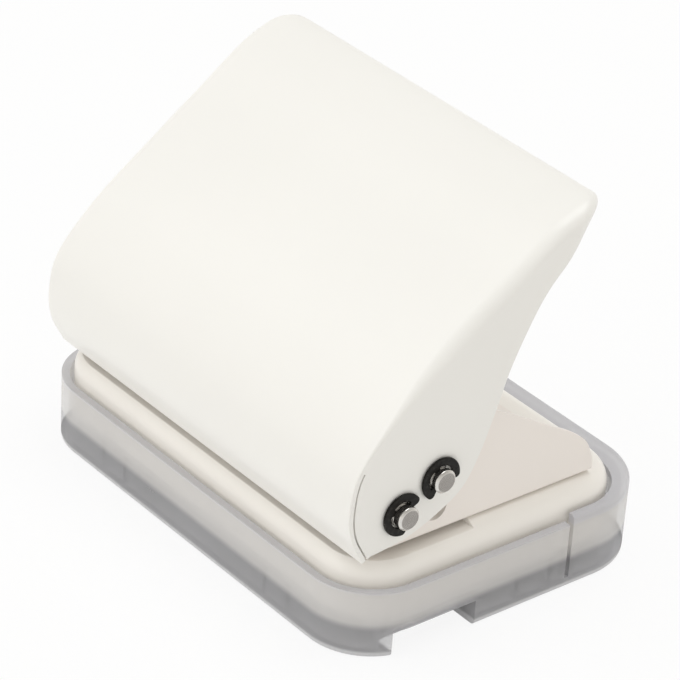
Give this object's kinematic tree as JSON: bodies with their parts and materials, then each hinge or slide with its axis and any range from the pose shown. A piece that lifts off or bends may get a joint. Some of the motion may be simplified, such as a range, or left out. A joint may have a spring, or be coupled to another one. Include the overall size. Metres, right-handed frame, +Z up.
{
  "type": "two-hole punch",
  "caption": "Compact sprung desk punch: a drawn metal lever on two shafts over a pressed base plate, guided punch pins and a pull-off frosted chip tray.",
  "frame": {"origin": "middle of the chip tray's flat underside", "axes": "+X along the shafts, -Y the side where paper goes in, +Z up"},
  "size_m": [0.1306, 0.0944, 0.1012],
  "materials": {
    "handle_enamel": "satin white enamel",
    "frame_enamel": "satin white enamel",
    "base_enamel": "satin white enamel",
    "frosted_tray": "frosted translucent moulding",
    "bright_steel": "turned and polished",
    "black_clip": "blackened spring steel",
    "hardened_steel": "ground",
    "spring_steel": "drawn wire",
    "zinc_rivet": "zinc plated"
  },
  "bodies": {
    "base": {"base_plate": "base_enamel", "frame": "frame_enamel", "pivot_shaft": "bright_steel", "pivot_clip_left": "black_clip", "pivot_clip_right": "black_clip", "guide_bush_left": "hardened_steel", "guide_bush_right": "hardened_steel", "die_bush_left": "hardened_steel", "die_bush_right": "hardened_steel", "frame_rivet_1": "zinc_rivet", "frame_rivet_2": "zinc_rivet", "frame_rivet_3": "zinc_rivet", "frame_rivet_4": "zinc_rivet", "pin_spring_left": "spring_steel", "pin_spring_right": "spring_steel"},
    "lever": {"handle": "handle_enamel", "presser_shaft": "bright_steel", "presser_clip_left": "black_clip", "presser_clip_right": "black_clip"},
    "pin_left": {"punch_pin_left": "hardened_steel"},
    "pin_right": {"punch_pin_right": "hardened_steel"},
    "tray": {"chip_tray": "frosted_tray"}
  },
  "joints": [
    {"name": "handle_hinge", "type": "hinge", "parent": "base", "child": "lever", "pos_m": [0, -0.03183, 0.03625], "axis": [-1, 0, 0], "range_deg": [0, 32], "stiffness_Nm_per_rad": 0.3, "springref_deg": -34.38},
    {"name": "pin_left_slide", "type": "slide", "parent": "base", "child": "pin_left", "axis": [0, 0, -1], "range_m": [0, 0.0066], "deforming": ["pin_spring_left"]},
    {"name": "pin_right_slide", "type": "slide", "parent": "base", "child": "pin_right", "axis": [0, 0, -1], "range_m": [0, 0.0066], "deforming": ["pin_spring_right"]},
    {"name": "tray_pull", "type": "slide", "parent": "base", "child": "tray", "axis": [0, 0, -1], "range_m": [0, 0.012]}
  ],
  "couplings": [
    {"joint": "pin_left_slide", "follows": "handle_hinge", "m_per_rad": 0.011815},
    {"joint": "pin_right_slide", "follows": "handle_hinge", "m_per_rad": 0.011815}
  ]
}
